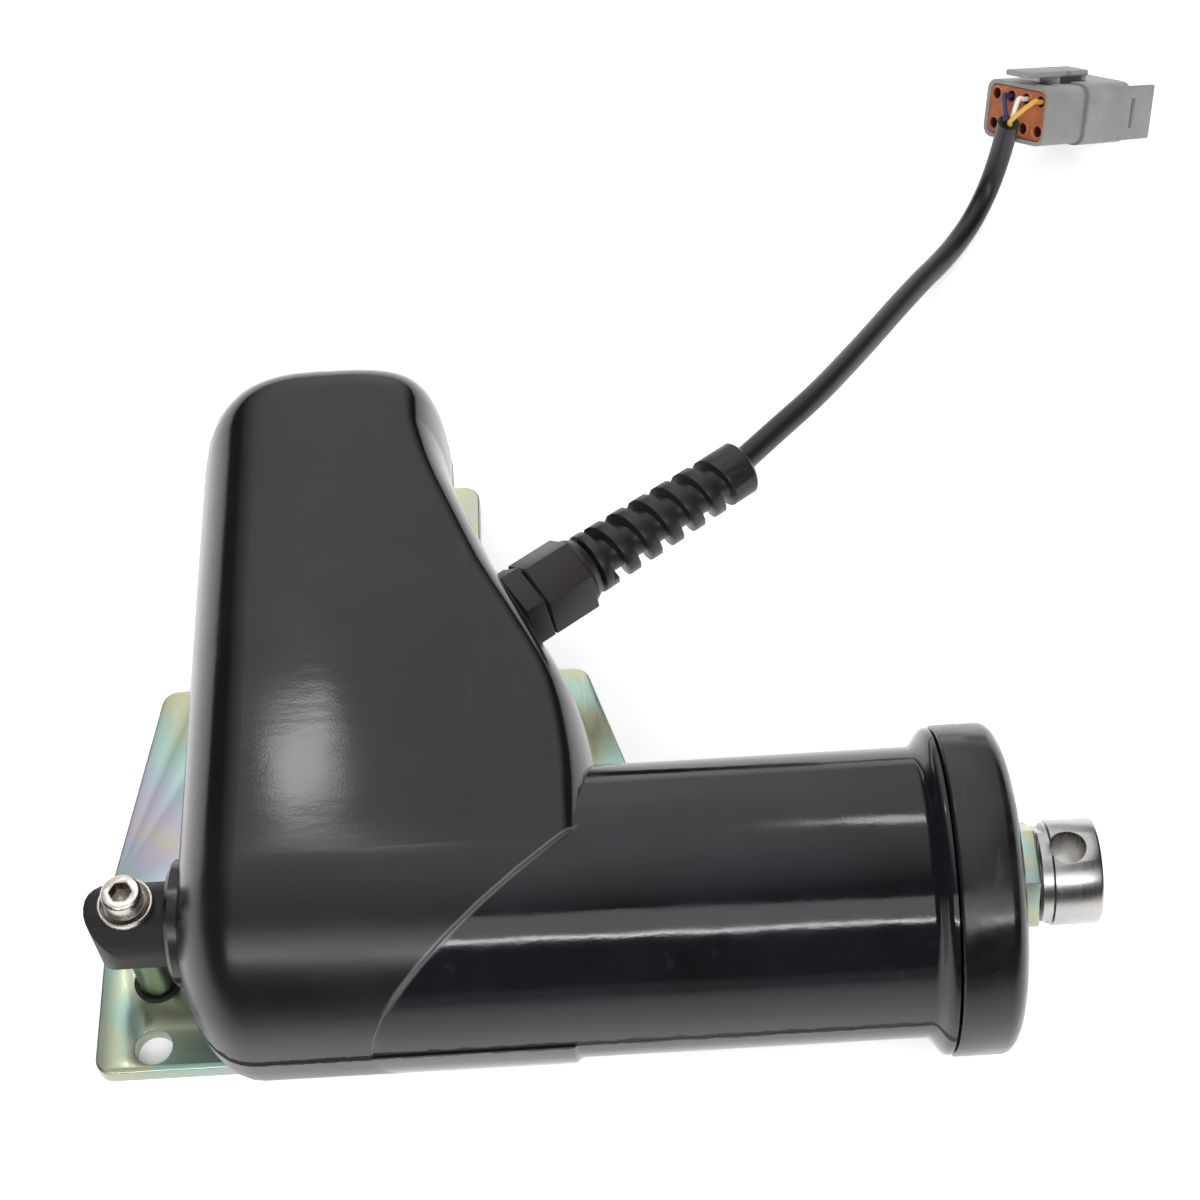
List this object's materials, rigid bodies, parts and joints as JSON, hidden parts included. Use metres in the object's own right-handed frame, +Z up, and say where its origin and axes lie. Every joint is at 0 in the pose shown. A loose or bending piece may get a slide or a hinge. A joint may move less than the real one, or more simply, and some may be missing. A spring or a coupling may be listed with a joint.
{
  "type": "linear actuator",
  "caption": "Right-angle electric throttle actuator: motor cover beside a round screw cover, push rod with cross-hole end, rear pivot on a plate, gland and plug lead.",
  "frame": {"origin": "rear pivot axis at the mounting plate's underside", "axes": "+X along the push rod towards the rod end, +Y along the motor away from the rod, +Z up from the plate"},
  "size_m": [0.3254, 0.351, 0.077],
  "materials": {
    "zinc_plate": "satin yellow-green zinc",
    "dark_zinc": "dark zinc",
    "bright_steel": "bright",
    "turned_steel": "turned bright",
    "zinc_hardware": "zinc plated",
    "eye_black": "matt black",
    "bronze": "satin",
    "cover_black": "satin moulded",
    "cap_black": "glossy moulded",
    "rubber": "matt",
    "relief_rubber": "matt",
    "alloy": "die cast",
    "acetal": "satin",
    "copper": "wound",
    "gland_black": "satin moulded",
    "cable_black": "satin",
    "wire_white": "satin",
    "wire_yellow": "satin",
    "wire_blue": "satin",
    "plug_grey": "satin moulded",
    "seal_orange": "matt"
  },
  "bodies": {
    "plate": {"mounting_plate": "zinc_plate", "pivot_post": "dark_zinc", "pivot_washer": "bright_steel", "pivot_screw": "bright_steel"},
    "actuator": {"rear_eye": "eye_black", "pivot_bush": "bronze", "upper_housing": "cover_black", "lower_housing": "cover_black", "case_screw_1": "zinc_hardware", "case_screw_2": "zinc_hardware", "case_screw_3": "zinc_hardware", "case_screw_4": "zinc_hardware", "end_cap": "cap_black", "rod_guide": "bronze", "rod_wiper": "rubber", "screw_bearing": "bright_steel", "bearing_block": "alloy", "motor_can": "zinc_hardware", "motor_end_bell": "acetal", "motor_bracket": "alloy", "gland_body": "gland_black", "gland_nut": "gland_black", "strain_relief": "relief_rubber", "cable": "cable_black", "wire_white": "wire_white", "wire_yellow": "wire_yellow", "wire_blue": "wire_blue", "plug_body": "plug_grey", "plug_seal": "seal_orange", "plug_wedge": "seal_orange"},
    "rod": {"push_rod": "bright_steel", "drive_nut": "acetal", "jam_nut": "zinc_hardware", "rod_end": "turned_steel"},
    "screw": {"lead_screw": "turned_steel", "worm_wheel": "acetal"},
    "motor_shaft": {"worm": "turned_steel", "armature": "copper"}
  },
  "joints": [
    {"name": "rear_swivel", "type": "hinge", "parent": "plate", "child": "actuator", "pos_m": [0, 0, 0.036], "axis": [0, 0, 1], "range_deg": [-8, 8]},
    {"name": "rod_slide", "type": "slide", "parent": "actuator", "child": "rod", "axis": [1, 0, 0], "range_m": [0, 0.036]},
    {"name": "screw_turn", "type": "hinge", "parent": "actuator", "child": "screw", "pos_m": [0.0465, 0, 0.036], "axis": [1, 0, 0], "range_deg": [-2160, 0]},
    {"name": "worm_turn", "type": "hinge", "parent": "actuator", "child": "motor_shaft", "pos_m": [0.0465, 0, 0.05], "axis": [0, 1, 0], "range_deg": [0, 21600]}
  ],
  "couplings": [
    {"joint": "worm_turn", "follows": "rod_slide", "rad_per_m": 10472},
    {"joint": "screw_turn", "follows": "rod_slide", "rad_per_m": -1047.2}
  ]
}
